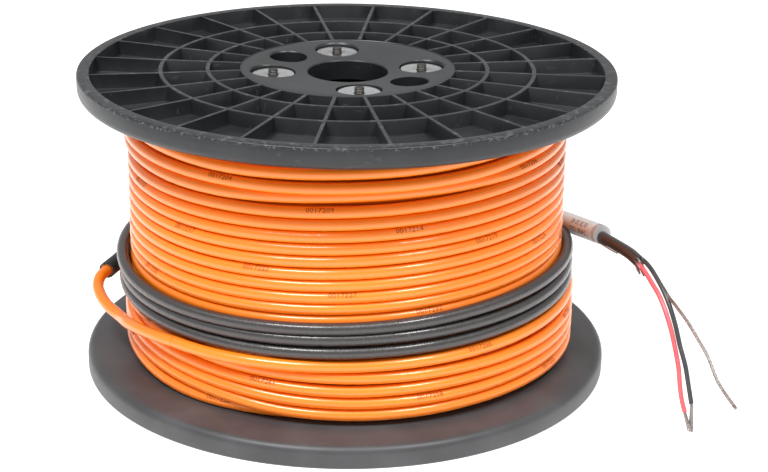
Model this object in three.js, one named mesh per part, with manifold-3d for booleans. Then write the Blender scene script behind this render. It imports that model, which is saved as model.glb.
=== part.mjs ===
// A reel of electric floor heating cable.
// Millimetres, +Z up. The reel stands on its bottom flange. The origin is on the reel's axis, on the floor.
import * as THREE from 'three';
import { mergeVertices } from 'three/addons/utils/BufferGeometryUtils.js';
import Module from 'manifold-3d';

const wasm = await Module();
wasm.setup();

// Driving dimensions of the moulded reel
const FLANGE_RADIUS = 127;
const REEL_HEIGHT = 147.4;
const RIM_HEIGHT = 10.4;
const RIM_LAND = 5.9;
const RIM_OUTER_CHAMFER = 0.9;
const RIM_INNER_ROUND = 4;
const CONE_WIDTH = 9;
const INNER_FACE_HEIGHT = 11.8;
const POCKET_DEPTH = 7.4;
const RIB_COUNT = 24;
const RIB_THICKNESS = 1.8;
const RIB_SETBACK = 0.3;
const RING_RADII = [66, 88];
const RING_THICKNESS = 2;
const HUB_RADIUS = 50.8;
const HUB_SETBACK = 0.7;
const HUB_FLAT_WIDTH = 5;
const HUB_CHAMFER = 0.8;
const HUB_DISH = 1.7;
const HUB_PLATE = 4.6;
const ARBOR_RADIUS = 19.05;
const ARBOR_COLLAR_WALL = 3.5;
const BARREL_RADIUS = 50.8;
const BARREL_WALL = 3;
const TURN_OF_REEL = 8.6;

// Driving dimensions of the four tie rods, their push-on washers and the two drive holes
const ROD_COUNT = 4;
const FIXING_CIRCLE_RADIUS = 35.5;
const ROD_RADIUS = 2.4;
const ROD_SETBACK = 0.3;
const WASHER_RADIUS = 10;
const WASHER_THICKNESS = 1;
const WASHER_RECESS = 2.4;
const WASHER_POCKET_CLEARANCE = 0.7;
const DRIVE_HOLE_RADIUS = 9;
const DRIVE_HOLE_COUNT = 2;
const DRIVE_HOLE_ANGLE = 135;
const CUT_OVERSHOOT = 1;

// Driving dimensions of the cable, its winding and its cold lead
const CABLE_DIAMETER = 5.5;
const TURN_PITCH = 5.6;
const WINDING_RADIUS = 104.8;
const LAST_LAYER_RADIUS = 110;
const LAST_LAYER_TURNS = 5;
const LAST_LAYER_LIFT = 1.5;
const TURN_GROOVE = 1.5;
const TURN_CREST = 2.6;
const LEAD_DIAMETER = 5.7;
const LEAD_TURNS = 3;
const LAST_TURN_START = 180;
const LAST_TURN_POINTS = 14;
const LAST_TURN_SPREAD = 4.4;
const LEAVING_ANGLE = 22.5;
const LABEL_DIAMETER = 10.5;
const LABEL_WALL = 0.35;
const SLEEVE_DIAMETER = 7.5;
const SLEEVE_BORE = 6.3;
const CORE_DIAMETER = 2.2;
const BRAID_DIAMETER = 1.8;
const STRAND_DIAMETER = 1.4;

// The clearance between neighbouring pieces
const GAP = 0.3;

// Facets of the round forms
const REEL_SIDES = 36;
const SMALL_SIDES = 16;
const LEAD_SIDES = 10;
const WIRE_SIDES = 8;

const deg = THREE.MathUtils.degToRad;

const finishes = {
  black_plastic: { color: 0x2b2b2c, roughness: 0.45, metalness: 0 },
  zinc_steel: { color: 0xc9ccd0, roughness: 0.3, metalness: 1 },
  rod_steel: { color: 0x4a4038, roughness: 0.5, metalness: 1 },
  orange_jacket: { color: 0xf07a1e, roughness: 0.35, metalness: 0 },
  black_jacket: { color: 0x37373a, roughness: 0.4, metalness: 0 },
  shrink_sleeve: { color: 0x1c1c1d, roughness: 0.5, metalness: 0 },
  label_film: { color: 0xeadfd8, roughness: 0.4, metalness: 0 },
  red_insulation: { color: 0xee5a62, roughness: 0.4, metalness: 0 },
  black_insulation: { color: 0x5a6064, roughness: 0.4, metalness: 0 },
  tinned_copper: { color: 0xb9aca6, roughness: 0.4, metalness: 1 },
};

const reel = new THREE.Group();

function addPiece(name, geometry, finish) {
  const mesh = new THREE.Mesh(geometry, new THREE.MeshStandardMaterial(finishes[finish]));
  mesh.name = name;
  reel.add(mesh);
  return mesh;
}

// Turns a closed outline of [radius, height] points about the Z axis, faces outward whichever way it runs.
function turned(outline, sides) {
  let area = 0;
  outline.forEach(([r, z], i) => {
    const [nextR, nextZ] = outline[(i + 1) % outline.length];
    area += r * nextZ - nextR * z;
  });
  const ordered = area > 0 ? outline : [...outline].reverse();
  const points = [...ordered, ordered[0]].map(([r, z]) => new THREE.Vector2(r, z));
  return new THREE.LatheGeometry(points, sides).rotateX(Math.PI / 2);
}

function solidOf(geometry) {
  geometry.deleteAttribute('normal');
  geometry.deleteAttribute('uv');
  const merged = mergeVertices(geometry, 1e-4);
  return new wasm.Manifold(new wasm.Mesh({
    numProp: 3,
    vertProperties: merged.attributes.position.array,
    triVerts: new Uint32Array(merged.index.array),
  }));
}

function geometryOf(solid) {
  const mesh = solid.getMesh();
  const geometry = new THREE.BufferGeometry();
  geometry.setAttribute('position', new THREE.BufferAttribute(new Float32Array(mesh.vertProperties), 3));
  geometry.setIndex(new THREE.BufferAttribute(new Uint32Array(mesh.triVerts), 1));
  geometry.computeVertexNormals();
  return geometry;
}

function cylinder(radius, low, high) {
  return new THREE.CylinderGeometry(radius, radius, high - low, SMALL_SIDES)
    .rotateX(Math.PI / 2)
    .translate(0, 0, (low + high) / 2);
}

// A round cut into the hub from its outer side, centred on the fixing circle.
function hubCut(radius, depth, angle) {
  return cylinder(radius, -CUT_OVERSHOOT, depth)
    .translate(FIXING_CIRCLE_RADIUS * Math.cos(angle), FIXING_CIRCLE_RADIUS * Math.sin(angle), 0);
}

// The outside of the hub is dished: this is how far its surface lies below the rim at a radius.
function hubSurface(radius) {
  const flatEdge = HUB_RADIUS - HUB_FLAT_WIDTH;
  if (radius >= flatEdge) return HUB_SETBACK;
  return HUB_SETBACK + HUB_DISH * (flatEdge - radius) / (flatEdge - ARBOR_RADIUS);
}

const hubUnderside = HUB_SETBACK + HUB_DISH + HUB_PLATE;
const recessFloor = hubSurface(FIXING_CIRCLE_RADIUS) + WASHER_RECESS;
const collarRadius = ARBOR_RADIUS + ARBOR_COLLAR_WALL;
const barrelBore = BARREL_RADIUS - BARREL_WALL;

// The turned section of a flange, with its outer side at height 0 and the winding side up.
function flangeOutline() {
  const rimBore = FLANGE_RADIUS - RIM_LAND;
  const roundCentre = [FLANGE_RADIUS - RIM_INNER_ROUND, RIM_HEIGHT - RIM_INNER_ROUND];
  const innerRound = [0, 30, 60, 90].map((a) => [
    roundCentre[0] + RIM_INNER_ROUND * Math.cos(deg(a)),
    roundCentre[1] + RIM_INNER_ROUND * Math.sin(deg(a)),
  ]);
  return [
    [ARBOR_RADIUS, hubSurface(ARBOR_RADIUS)],
    [HUB_RADIUS - HUB_FLAT_WIDTH, HUB_SETBACK],
    [HUB_RADIUS - HUB_CHAMFER, HUB_SETBACK],
    [HUB_RADIUS, HUB_SETBACK + HUB_CHAMFER],
    [HUB_RADIUS, POCKET_DEPTH],
    [rimBore, POCKET_DEPTH],
    [rimBore, 0],
    [FLANGE_RADIUS - RIM_OUTER_CHAMFER, 0],
    [FLANGE_RADIUS, RIM_OUTER_CHAMFER],
    ...innerRound,
    [FLANGE_RADIUS - RIM_INNER_ROUND - CONE_WIDTH, INNER_FACE_HEIGHT],
    [barrelBore, INNER_FACE_HEIGHT],
    [barrelBore, hubUnderside],
    [collarRadius, hubUnderside],
    [collarRadius, INNER_FACE_HEIGHT],
    [ARBOR_RADIUS, INNER_FACE_HEIGHT],
  ];
}

// One moulded flange: rim, web, hub, two ring ribs and the radial ribs in one piece.
function flange(turn) {
  let body = solidOf(turned(flangeOutline(), REEL_SIDES));
  const ribFoot = (POCKET_DEPTH + INNER_FACE_HEIGHT) / 2;
  for (const radius of RING_RADII) {
    const inner = radius - RING_THICKNESS / 2;
    const outer = radius + RING_THICKNESS / 2;
    const ring = [[inner, RIB_SETBACK], [outer, RIB_SETBACK], [outer, ribFoot], [inner, ribFoot]];
    body = body.add(solidOf(turned(ring, REEL_SIDES)));
  }
  const ribStart = HUB_RADIUS - RIB_THICKNESS / 2;
  const ribEnd = FLANGE_RADIUS - RIM_LAND / 2;
  for (let i = 0; i < RIB_COUNT; i++) {
    const rib = new THREE.BoxGeometry(ribEnd - ribStart, RIB_THICKNESS, ribFoot - RIB_SETBACK);
    rib.translate((ribStart + ribEnd) / 2, 0, (ribFoot + RIB_SETBACK) / 2);
    rib.rotateZ(turn + i * 2 * Math.PI / RIB_COUNT);
    body = body.add(solidOf(rib));
  }
  for (let i = 0; i < ROD_COUNT; i++) {
    const angle = turn + i * 2 * Math.PI / ROD_COUNT;
    const pocketRadius = WASHER_RADIUS + WASHER_POCKET_CLEARANCE;
    body = body
      .subtract(solidOf(hubCut(pocketRadius, recessFloor, angle)))
      .subtract(solidOf(hubCut(ROD_RADIUS + GAP, INNER_FACE_HEIGHT, angle)));
  }
  for (let i = 0; i < DRIVE_HOLE_COUNT; i++) {
    const angle = turn + deg(DRIVE_HOLE_ANGLE) + i * 2 * Math.PI / DRIVE_HOLE_COUNT;
    body = body.subtract(solidOf(hubCut(DRIVE_HOLE_RADIUS, INNER_FACE_HEIGHT, angle)));
  }
  return geometryOf(body);
}

// Both flanges are the same moulding. The top one lies upside down, a quarter turn on,
// which brings its tie rods and drive holes over those of the bottom one.
const reelTurn = deg(TURN_OF_REEL);
addPiece('bottom_flange', flange(reelTurn), 'black_plastic');
const topFlange = addPiece('top_flange', flange(-reelTurn - Math.PI / 2), 'black_plastic');
topFlange.rotation.x = Math.PI;
topFlange.position.z = REEL_HEIGHT;

const coreLow = INNER_FACE_HEIGHT + GAP;
const coreHigh = REEL_HEIGHT - INNER_FACE_HEIGHT - GAP;
const barrel = [
  [barrelBore, coreLow],
  [BARREL_RADIUS, coreLow],
  [BARREL_RADIUS, coreHigh],
  [barrelBore, coreHigh],
];
addPiece('barrel', turned(barrel, REEL_SIDES), 'black_plastic');

// A tie rod stands in each of the four holes, with a push-on washer sunk in the hub at either end.
const washerLow = recessFloor - GAP - WASHER_THICKNESS;
const washerHigh = recessFloor - GAP;
const washer = [
  [ROD_RADIUS + GAP, washerLow],
  [WASHER_RADIUS, washerLow],
  [WASHER_RADIUS, washerHigh],
  [ROD_RADIUS + GAP, washerHigh],
];
for (let i = 0; i < ROD_COUNT; i++) {
  const angle = reelTurn + i * 2 * Math.PI / ROD_COUNT;
  const x = FIXING_CIRCLE_RADIUS * Math.cos(angle);
  const y = FIXING_CIRCLE_RADIUS * Math.sin(angle);
  const rod = cylinder(ROD_RADIUS, ROD_SETBACK, REEL_HEIGHT - ROD_SETBACK);
  addPiece(`tie_rod_${i + 1}`, rod, 'rod_steel').position.set(x, y, 0);
  addPiece(`bottom_washer_${i + 1}`, turned(washer, SMALL_SIDES), 'zinc_steel').position.set(x, y, 0);
  const topWasher = addPiece(`top_washer_${i + 1}`, turned(washer, SMALL_SIDES), 'zinc_steel');
  topWasher.rotation.x = Math.PI;
  topWasher.position.set(x, y, REEL_HEIGHT);
}

// The wound heating cable is one turned solid. Each turn is a groove and a crest on its outside,
// and the last layer covers only the lowest turns.
function turnCrests(radius, firstCentre, pitch, count) {
  const crests = [];
  for (let i = 0; i < count; i++) {
    const centre = firstCentre + i * pitch;
    crests.push([radius - TURN_GROOVE, centre - pitch / 2]);
    crests.push([radius, centre - TURN_CREST / 2]);
    crests.push([radius, centre + TURN_CREST / 2]);
  }
  crests.push([radius - TURN_GROOVE, firstCentre + (count - 0.5) * pitch]);
  return crests;
}

const lastLayerLow = coreLow + LAST_LAYER_LIFT;
const lastLayerHigh = lastLayerLow + LAST_LAYER_TURNS * TURN_PITCH;
const mainTurns = Math.round((coreHigh - lastLayerHigh) / TURN_PITCH);
const mainPitch = (coreHigh - lastLayerHigh) / mainTurns;
const windingBore = BARREL_RADIUS + GAP;
const winding = [
  [windingBore, coreLow],
  [WINDING_RADIUS - TURN_GROOVE, coreLow],
  ...turnCrests(LAST_LAYER_RADIUS, lastLayerLow + TURN_PITCH / 2, TURN_PITCH, LAST_LAYER_TURNS),
  ...turnCrests(WINDING_RADIUS, lastLayerHigh + mainPitch / 2, mainPitch, mainTurns),
  [windingBore, coreHigh],
];
addPiece('cable_winding', turned(winding, REEL_SIDES), 'orange_jacket');

// The black cold lead lies on the winding in three turns, above the last layer.
const leadInner = WINDING_RADIUS + GAP;
const leadOuter = leadInner + LEAD_DIAMETER;
const leadTurnsLow = lastLayerHigh + GAP;
const leadTurns = [[leadInner, leadTurnsLow]];
for (let i = 0; i < LEAD_TURNS; i++) {
  const centre = leadTurnsLow + (i + 0.5) * LEAD_DIAMETER;
  leadTurns.push([leadOuter - TURN_GROOVE, centre - LEAD_DIAMETER / 2]);
  leadTurns.push([leadOuter, centre - TURN_CREST / 2]);
  leadTurns.push([leadOuter, centre + TURN_CREST / 2]);
}
const leadTurnsTop = leadTurnsLow + LEAD_TURNS * LEAD_DIAMETER;
leadTurns.push([leadOuter - TURN_GROOVE, leadTurnsTop]);
leadTurns.push([leadInner, leadTurnsTop]);
addPiece('cold_lead_turns', turned(leadTurns, REEL_SIDES), 'black_jacket');

// The corners of a round section.
function circlePoints(diameter, sides) {
  const corners = [];
  for (let i = 0; i < sides; i++) {
    const angle = i * 2 * Math.PI / sides;
    corners.push(new THREE.Vector2(diameter / 2 * Math.cos(angle), diameter / 2 * Math.sin(angle)));
  }
  return corners;
}

// A round section carried along a smooth curve through the points, hollow if it has a bore.
function strand(points, diameter, sides, steps, bore = 0) {
  const section = new THREE.Shape(circlePoints(diameter, sides));
  if (bore > 0) section.holes.push(new THREE.Path(circlePoints(bore, sides)));
  const path = new THREE.CatmullRomCurve3(points, false, 'centripetal');
  return new THREE.ExtrudeGeometry(section, { steps, extrudePath: path, curveSegments: 1 });
}

// The lead leaves the winding along a tangent. A place on its tail is given as the distance along
// that tangent, the distance outward from it, and the height.
const leaving = deg(LEAVING_ANGLE);
const leadLine = leadOuter - LEAD_DIAMETER / 2 + GAP;
function besideReel([along, outward, height]) {
  const radius = leadLine + outward;
  return new THREE.Vector3(
    radius * Math.cos(leaving) + along * Math.sin(leaving),
    radius * Math.sin(leaving) - along * Math.cos(leaving),
    height,
  );
}

// The last half turn runs clockwise from the left, round the back, while it spreads outward over
// the turn below, and then leaves.
const lastTurnHeight = leadTurnsTop + GAP + LEAD_DIAMETER / 2;
const leadRoute = [];
for (let i = 0; i < LAST_TURN_POINTS; i++) {
  const share = i / LAST_TURN_POINTS;
  const angle = deg(LAST_TURN_START + (LEAVING_ANGLE - LAST_TURN_START) * share);
  const radius = leadLine + LAST_TURN_SPREAD * share;
  leadRoute.push(new THREE.Vector3(radius * Math.cos(angle), radius * Math.sin(angle), lastTurnHeight));
}
const freeLead = [
  [0, LAST_TURN_SPREAD, lastTurnHeight],
  [22, 0.9, 63.4],
  [42, 0.4, 65.3],
  [59.7, 0, 67.4],
  [75.6, 0, 68.3],
  [92.3, 0, 68.8],
];
leadRoute.push(...freeLead.map(besideReel));
addPiece('cold_lead_tail', strand(leadRoute, LEAD_DIAMETER, LEAD_SIDES, 30), 'black_jacket');

// A printed film label is wrapped round the tail as a loose tube, which the lead lies in the bottom of.
const labelAxis = [[22, 0, 64.7], [60.3, 0, 69.1]].map(besideReel);
const labelTube = strand(labelAxis, LABEL_DIAMETER, LEAD_SIDES + 2, 1, LABEL_DIAMETER - 2 * LABEL_WALL);
addPiece('label_sleeve', labelTube, 'label_film');

// Two insulated cores and a tinned copper ground braid come out of the stripped jacket.
const blackCore = [
  [92.7, 1.3, 68.4],
  [101.4, 0.9, 67.8],
  [110.8, 0.4, 64.4],
  [117.2, 0.1, 61],
  [123.1, 0, 56.2],
  [129.2, 0, 48.8],
  [134.6, 0, 40],
  [139.7, 0, 33],
  [143.4, 0, 25],
  [146.9, 0, 17.1],
];
const wire = (places, diameter, steps) => strand(places.map(besideReel), diameter, WIRE_SIDES, steps);
addPiece('black_core', wire(blackCore, CORE_DIAMETER, 15), 'black_insulation');
const redCore = [
  [92.7, -1.3, 68.2],
  [101.4, -1.8, 66.6],
  [110.4, -2.4, 62.6],
  [116.8, -2.6, 59.6],
  [122.6, -2.7, 54.9],
  [128.8, -2.7, 47.8],
  [134.2, -2.7, 38.9],
  [138.4, -3, 31.5],
  [140.6, -3.1, 23.5],
  [142.6, -2.9, 17.4],
  [145, -2.7, 12.2],
];
addPiece('red_core', wire(redCore, CORE_DIAMETER, 16), 'red_insulation');
const groundBraid = [
  [92.7, 0, 70.8],
  [101.4, 0, 70.6],
  [110.8, 0.3, 67.4],
  [118.5, 0.2, 63.8],
  [125.3, 0, 59.1],
  [132.5, 0, 56.5],
  [140.5, 0, 53.3],
  [148.5, 0, 49.2],
  [156, 0, 45.1],
  [166.1, 0, 36.3],
  [175.9, 0, 31.9],
  [181.2, 0, 30],
];
addPiece('ground_braid', wire(groundBraid, BRAID_DIAMETER, 17), 'tinned_copper');
const blackStrands = [[147.1, 0, 16.7], [147.5, 0.2, 10], [147.8, 0.2, 3.6]];
addPiece('black_core_strands', wire(blackStrands, STRAND_DIAMETER, 2), 'tinned_copper');
const redStrands = [[145.2, -2.7, 11.8], [146.1, -2.3, 8.6], [146.9, -2, 5.2]];
addPiece('red_core_strands', wire(redStrands, STRAND_DIAMETER, 2), 'tinned_copper');

// The end of the heating cable bulges out beside the reel and goes into the splice sleeve.
const heatingTail = [
  [-107.85, -32.95, 32.6],
  [-115.3, -21.6, 33.8],
  [-119.5, -12.7, 35.7],
  [-121.3, -5.1, 37.7],
  [-120.7, 0, 39.6],
  [-118.9, 4.8, 40.2],
  [-116.7, 11.4, 40.2],
].map((place) => new THREE.Vector3(...place));
addPiece('heating_cable_tail', strand(heatingTail, CABLE_DIAMETER, LEAD_SIDES, 7), 'orange_jacket');
const spliceSleeve = [
  [-119.3, 3.5, 40.2],
  [-116.7, 11.4, 40.2],
  [-114.7, 17.8, 40.2],
  [-111.6, 29, 40],
  [-108.6, 38.2, 39.6],
].map((place) => new THREE.Vector3(...place));
addPiece('splice_sleeve', strand(spliceSleeve, SLEEVE_DIAMETER, LEAD_SIDES, 5, SLEEVE_BORE), 'shrink_sleeve');

export default reel;
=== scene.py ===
# %% [markdown]
# # A reel of floor heating cable
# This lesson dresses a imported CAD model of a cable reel. The real thing is a black moulded reel that
# holds about a hundred metres of orange heating cable. The cable's end is spliced to a black cold
# lead, whose stripped end hangs free with two cores and a ground braid.
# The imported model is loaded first, and every later piece is placed in its frame. Lengths in the
# tables are millimetres, and one factor turns them into the metres that Blender works in.

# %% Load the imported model
import math
import random

import bmesh
import bpy
from mathutils import Matrix, Vector


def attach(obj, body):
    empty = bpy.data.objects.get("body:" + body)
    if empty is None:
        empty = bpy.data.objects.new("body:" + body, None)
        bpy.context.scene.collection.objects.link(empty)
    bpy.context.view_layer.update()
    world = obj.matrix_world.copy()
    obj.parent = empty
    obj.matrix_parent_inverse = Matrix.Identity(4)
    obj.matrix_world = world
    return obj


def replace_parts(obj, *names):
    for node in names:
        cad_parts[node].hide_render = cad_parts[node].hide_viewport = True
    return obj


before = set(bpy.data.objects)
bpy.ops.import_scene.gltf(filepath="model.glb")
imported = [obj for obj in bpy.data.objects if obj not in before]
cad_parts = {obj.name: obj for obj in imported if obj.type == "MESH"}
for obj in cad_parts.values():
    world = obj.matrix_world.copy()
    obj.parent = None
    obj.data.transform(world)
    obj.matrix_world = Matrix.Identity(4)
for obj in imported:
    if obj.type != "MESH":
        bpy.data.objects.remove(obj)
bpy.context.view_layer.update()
MM = 0.001
REEL_HEIGHT = 147.4

# %% [markdown]
# ## Camera
# The photograph was taken from a little above the top flange with a long lens. The outlines of both
# flanges fix the camera's place, its tilt and its lens, so they are given here as measured numbers.
# The camera's axes are built from yaw, pitch and roll, which is easier to check than Euler angles.

# %% Camera
YAW, PITCH, ROLL = 0.0212, 0.3582, 0.0143
CAMERA_PLACE = (0, -0.86234, 0.38458)
FOCAL_PIXELS = 1884.18
IMAGE_WIDTH = 768


def linked(name, data):
    """A new object in the scene, made of its data."""
    made = bpy.data.objects.new(name, data)
    bpy.context.scene.collection.objects.link(made)
    return made


camera_data = bpy.data.cameras.new("photo_camera")
camera_data.sensor_width = 36
camera_data.lens = camera_data.sensor_width * FOCAL_PIXELS / IMAGE_WIDTH
camera = linked("photo_camera", camera_data)
bpy.context.scene.camera = camera

forward = Vector((math.sin(YAW) * math.cos(PITCH), math.cos(YAW) * math.cos(PITCH), -math.sin(PITCH)))
level = Vector((math.cos(YAW), -math.sin(YAW), 0))
upright = level.cross(forward)
right = level * math.cos(ROLL) + upright * math.sin(ROLL)
up = upright * math.cos(ROLL) - level * math.sin(ROLL)
turned_axes = Matrix((right, up, -forward)).transposed().to_4x4()
camera.matrix_world = Matrix.Translation(CAMERA_PLACE) @ turned_axes
print("lens", round(camera_data.lens, 2), "mm")

# %% [markdown]
# ## Floor, light and surroundings
# The photograph has a plain white background and no visible shadow. Two soft boxes leave one long
# highlight each on every turn of the cable, the left one wide and the right one narrow. Their places
# follow from where those highlights lie: a highlight is half way between the light and the camera.

# %% Floor, sky and soft boxes
LIGHT_DISTANCE, AIM_HEIGHT, FLOOR_SIZE = 2, 0.07, 6

view = bpy.context.scene.view_settings
view.view_transform = "Standard"
view.look = "None"

world = bpy.data.worlds.new("white_surroundings")
world.use_nodes = True
world.node_tree.nodes["Background"].inputs["Color"].default_value = (1, 1, 1, 1)
world.node_tree.nodes["Background"].inputs["Strength"].default_value = 0.56
bpy.context.scene.world = world


def soft_box(name, azimuth, elevation, width, height, power):
    """A rectangular light at a distance from the reel's middle, facing it."""
    data = bpy.data.lights.new(name, "AREA")
    data.shape = "RECTANGLE"
    data.size, data.size_y, data.energy = width, height, power
    lamp = linked(name, data)
    a, e = math.radians(azimuth), math.radians(elevation)
    direction = Vector((math.cos(a) * math.cos(e), math.sin(a) * math.cos(e), math.sin(e)))
    lamp.location = Vector((0, 0, AIM_HEIGHT)) + direction * LIGHT_DISTANCE
    lamp.rotation_euler = direction.to_track_quat("Z", "Y").to_euler()


soft_box("left_soft_box", 232, 58, 0.75, 0.36, 34)
soft_box("right_soft_box", 314, 58, 0.45, 0.36, 22)

bm = bmesh.new()
bmesh.ops.create_grid(bm, x_segments=1, y_segments=1, size=FLOOR_SIZE)
floor_mesh = bpy.data.meshes.new("floor")
bm.to_mesh(floor_mesh)
bm.free()
floor = linked("floor", floor_mesh)
print("two soft boxes, a white sky and a floor")

# %% [markdown]
# ## Material maths as expressions
# A finish is one Principled shader. Numbers that are the same all over are set on its sockets. What
# changes over the surface is written as plain arithmetic on node outputs: the class below turns
# each sign into its Math node, and any other node comes from one method.

# %% Expressions for shader nodes
class Output:
    """An output of a node. Arithmetic on it adds Math nodes to the same finish."""

    def __init__(self, finish, socket):
        self.finish, self.socket = finish, socket

    def math(self, operation, *others):
        inputs = dict(enumerate((self,) + others))
        return self.finish.node("ShaderNodeMath", {"operation": operation}, inputs)

    def __add__(self, other):
        return self.math("ADD", other)

    def __mul__(self, other):
        return self.math("MULTIPLY", other)

    def __sub__(self, other):
        return self.math("SUBTRACT", other)

    def __rsub__(self, other):
        return self.finish.node("ShaderNodeMath", {"operation": "SUBTRACT"}, {0: other, 1: self})

    __radd__ = __add__
    __rmul__ = __mul__


class Finish:
    """A material in the making, with its Principled shader."""

    def __init__(self, name, **fixed):
        self.material = bpy.data.materials.new(name)
        self.material.use_nodes = True
        self.tree = self.material.node_tree
        self.shader = self.tree.nodes["Principled BSDF"]
        for words, value in fixed.items():
            self.set(words.replace("_", " "), value)

    def set(self, title, value):
        """Sets or links one socket of the shader."""
        self.fill(self.shader.inputs[title], value)

    def fill(self, socket, value):
        if isinstance(value, Output):
            self.tree.links.new(value.socket, socket)
        elif socket.type == "RGBA":
            socket.default_value = (*value, 1)
        else:
            socket.default_value = value

    def node(self, kind, settings, inputs, out=0):
        """Adds a node: its settings first, then its inputs, and gives one of its outputs."""
        new = self.tree.nodes.new(kind)
        for key, value in settings.items():
            setattr(new, key, value)
        for key, value in inputs.items():
            self.fill(new.inputs[key], value)
        return Output(self, new.outputs[out])

    def place(self):
        """The point on the object, in metres."""
        return self.node("ShaderNodeTexCoord", {}, {}, "Object")

    def noise(self, scale, detail=3, stretch=(1, 1, 1)):
        """Noise from 0 to 1. Scale is in waves a metre."""
        inputs = {0: self.place(), 1: tuple(scale * s for s in stretch)}
        scaled = self.node("ShaderNodeVectorMath", {"operation": "MULTIPLY"}, inputs)
        return self.node("ShaderNodeTexNoise", {}, {"Vector": scaled, "Scale": 1, "Detail": detail})

    def parts(self, vector, part):
        return self.node("ShaderNodeSeparateXYZ", {}, {0: vector}, part)

    def between(self, value, low, high):
        """0 below low, 1 above high, with a soft step between them."""
        settings = {"interpolation_type": "SMOOTHSTEP"}
        return self.node("ShaderNodeMapRange", settings, {"Value": value, "From Min": low, "From Max": high})

    def mix(self, share, first, second):
        """A colour that goes from first to second as share goes from 0 to 1."""
        return self.node("ShaderNodeMix", {"data_type": "RGBA"}, {0: share, 6: first, 7: second}, 2)

    def tone(self, share, first, second):
        """Gives the shader a colour that goes from first to second."""
        self.set("Base Color", self.mix(share, first, second))

    def bump(self, height, distance, strength):
        """Gives the shader a normal from a height. Distance is the height of 1, in metres."""
        inputs = {"Height": height, "Distance": distance, "Strength": strength}
        self.set("Normal", self.node("ShaderNodeBump", {}, inputs))


print("finishes are written as expressions")

# %% [markdown]
# ## The floor's finish
# A pale matt floor that melts into the surroundings. The photograph looks as if the reel stood on
# a light table: nothing is darker below it, and the undersides of the turns are lit. So the floor
# gives a little light of its own.

# %% Pale floor
pale_floor = Finish("pale_floor", Roughness=0.9, Specular_IOR_Level=0.1, Emission_Strength=0.42)
pale_floor.set("Emission Color", (1, 1, 1))
pale_floor.tone(pale_floor.noise(3), (0.9, 0.9, 0.9), (0.93, 0.93, 0.93))
floor_mesh.materials.append(pale_floor.material)
print("pale floor")

# %% [markdown]
# ## Orange jacket
# The heating cable has a glossy extruded jacket. Extruded plastic is very even, so the finish lives
# on its clear gloss: small changes of tone along the cable, faint haze, and a soft waviness that
# makes the highlights wander a little.

# %% Orange jacket finish
orange = Finish("orange_jacket", Specular_IOR_Level=0.5, Coat_Roughness=0.12)
orange_tone = orange.noise(18, 2)
orange_haze = orange.between(orange.noise(900, 4), 0.52, 0.75)
orange.tone(orange_tone, (0.93, 0.19, 0.004), (0.96, 0.235, 0.008))
orange.set("Roughness", 0.3 + orange_haze * 0.1 + orange_tone * 0.06)
orange.set("Coat Weight", 0.5 - orange_haze * 0.2)
orange.bump(orange.noise(160, 2), 0.0001, 0.4)
print("orange jacket")

# %% [markdown]
# ## Black jacket of the cold lead
# A braid lies under the thin jacket of the cold lead and shows through as fine ripples across it,
# about one a millimetre. The piece's own UV map runs round the lead in u and along it in v, in
# metres, so the ripples follow the lead wherever it goes.

# %% Black jacket finish
RIPPLE = 0.00115
black_jacket = Finish("black_jacket", Specular_IOR_Level=0.5, Coat_Roughness=0.14)
along_lead = black_jacket.node("ShaderNodeUVMap", {"uv_map": "along"}, {})
lead_v = black_jacket.parts(along_lead, "Y")
lead_u = black_jacket.parts(along_lead, "X")
waver = black_jacket.noise(260, 2)
lead_wave = (lead_v * (2 * math.pi / RIPPLE) + waver * 5 + lead_u * 6.2832).math("SINE")
dust = black_jacket.between(black_jacket.noise(700, 5), 0.56, 0.72)
black_jacket.tone(dust, (0.03, 0.026, 0.026), (0.05, 0.044, 0.044))
black_jacket.set("Roughness", 0.38 + dust * 0.2)
black_jacket.set("Coat Weight", 0.5 - dust * 0.3)
black_jacket.bump(lead_wave * 0.5 + black_jacket.noise(700, 3) * 1.2, 0.00011, 0.9)
print("black jacket with", round(1 / RIPPLE), "ripples a metre")

# %% [markdown]
# ## Routes
# A real cable bends evenly, so each route is a smooth line through a few measured knots. Knots on
# the reel are angle, radius and height, because that is how a wound cable is measured. The angle
# falls along the cable: seen from above it is wound clockwise.

# %% Routes
def on_reel(angle, radius, height):
    """A place by its angle round the reel in degrees, and its radius and height in millimetres."""
    a = math.radians(angle)
    return Vector((radius * math.cos(a), radius * math.sin(a), height)) * MM


class Route:
    """A chain of places with the distance along it."""

    def __init__(self, places):
        self.places = places
        self.marks = [0.0]
        for here, after in zip(places, places[1:]):
            self.marks.append(self.marks[-1] + (after - here).length)
        self.length = self.marks[-1]

    def at(self, distance):
        """The place and the direction at a distance along the route."""
        low, high = 0, len(self.marks) - 2
        while low < high:
            middle = (low + high + 1) // 2
            if self.marks[middle] <= distance:
                low = middle
            else:
                high = middle - 1
        step = self.places[low + 1] - self.places[low]
        share = (distance - self.marks[low]) / step.length
        return self.places[low] + step * share, step.normalized()


def slopes(xs, ys):
    """The slope of a smooth line at each knot, from the slopes on either side of it."""
    steep = [(y1 - y0) / (x1 - x0) for x0, x1, y0, y1 in zip(xs, xs[1:], ys, ys[1:])]
    spans = [x1 - x0 for x0, x1 in zip(xs, xs[1:])]
    inner = [
        (s0 * w1 + s1 * w0) / (w0 + w1)
        for s0, s1, w0, w1 in zip(steep, steep[1:], spans, spans[1:])
    ]
    return [steep[0]] + inner + [steep[-1]]


def smooth_line(xs, ys):
    """A function through the knots, with even slopes where they meet."""
    tangents = slopes(xs, ys)

    def value(x):
        i = max(k for k in range(len(xs) - 1) if k == 0 or xs[k] <= x)
        span = xs[i + 1] - xs[i]
        t = (x - xs[i]) / span
        start, end = ys[i], ys[i + 1]
        rise = start + (end - start) * t * t * (3 - 2 * t)
        return rise + span * (tangents[i] * t * (1 - t) ** 2 - tangents[i + 1] * t * t * (1 - t))

    return value


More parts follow.
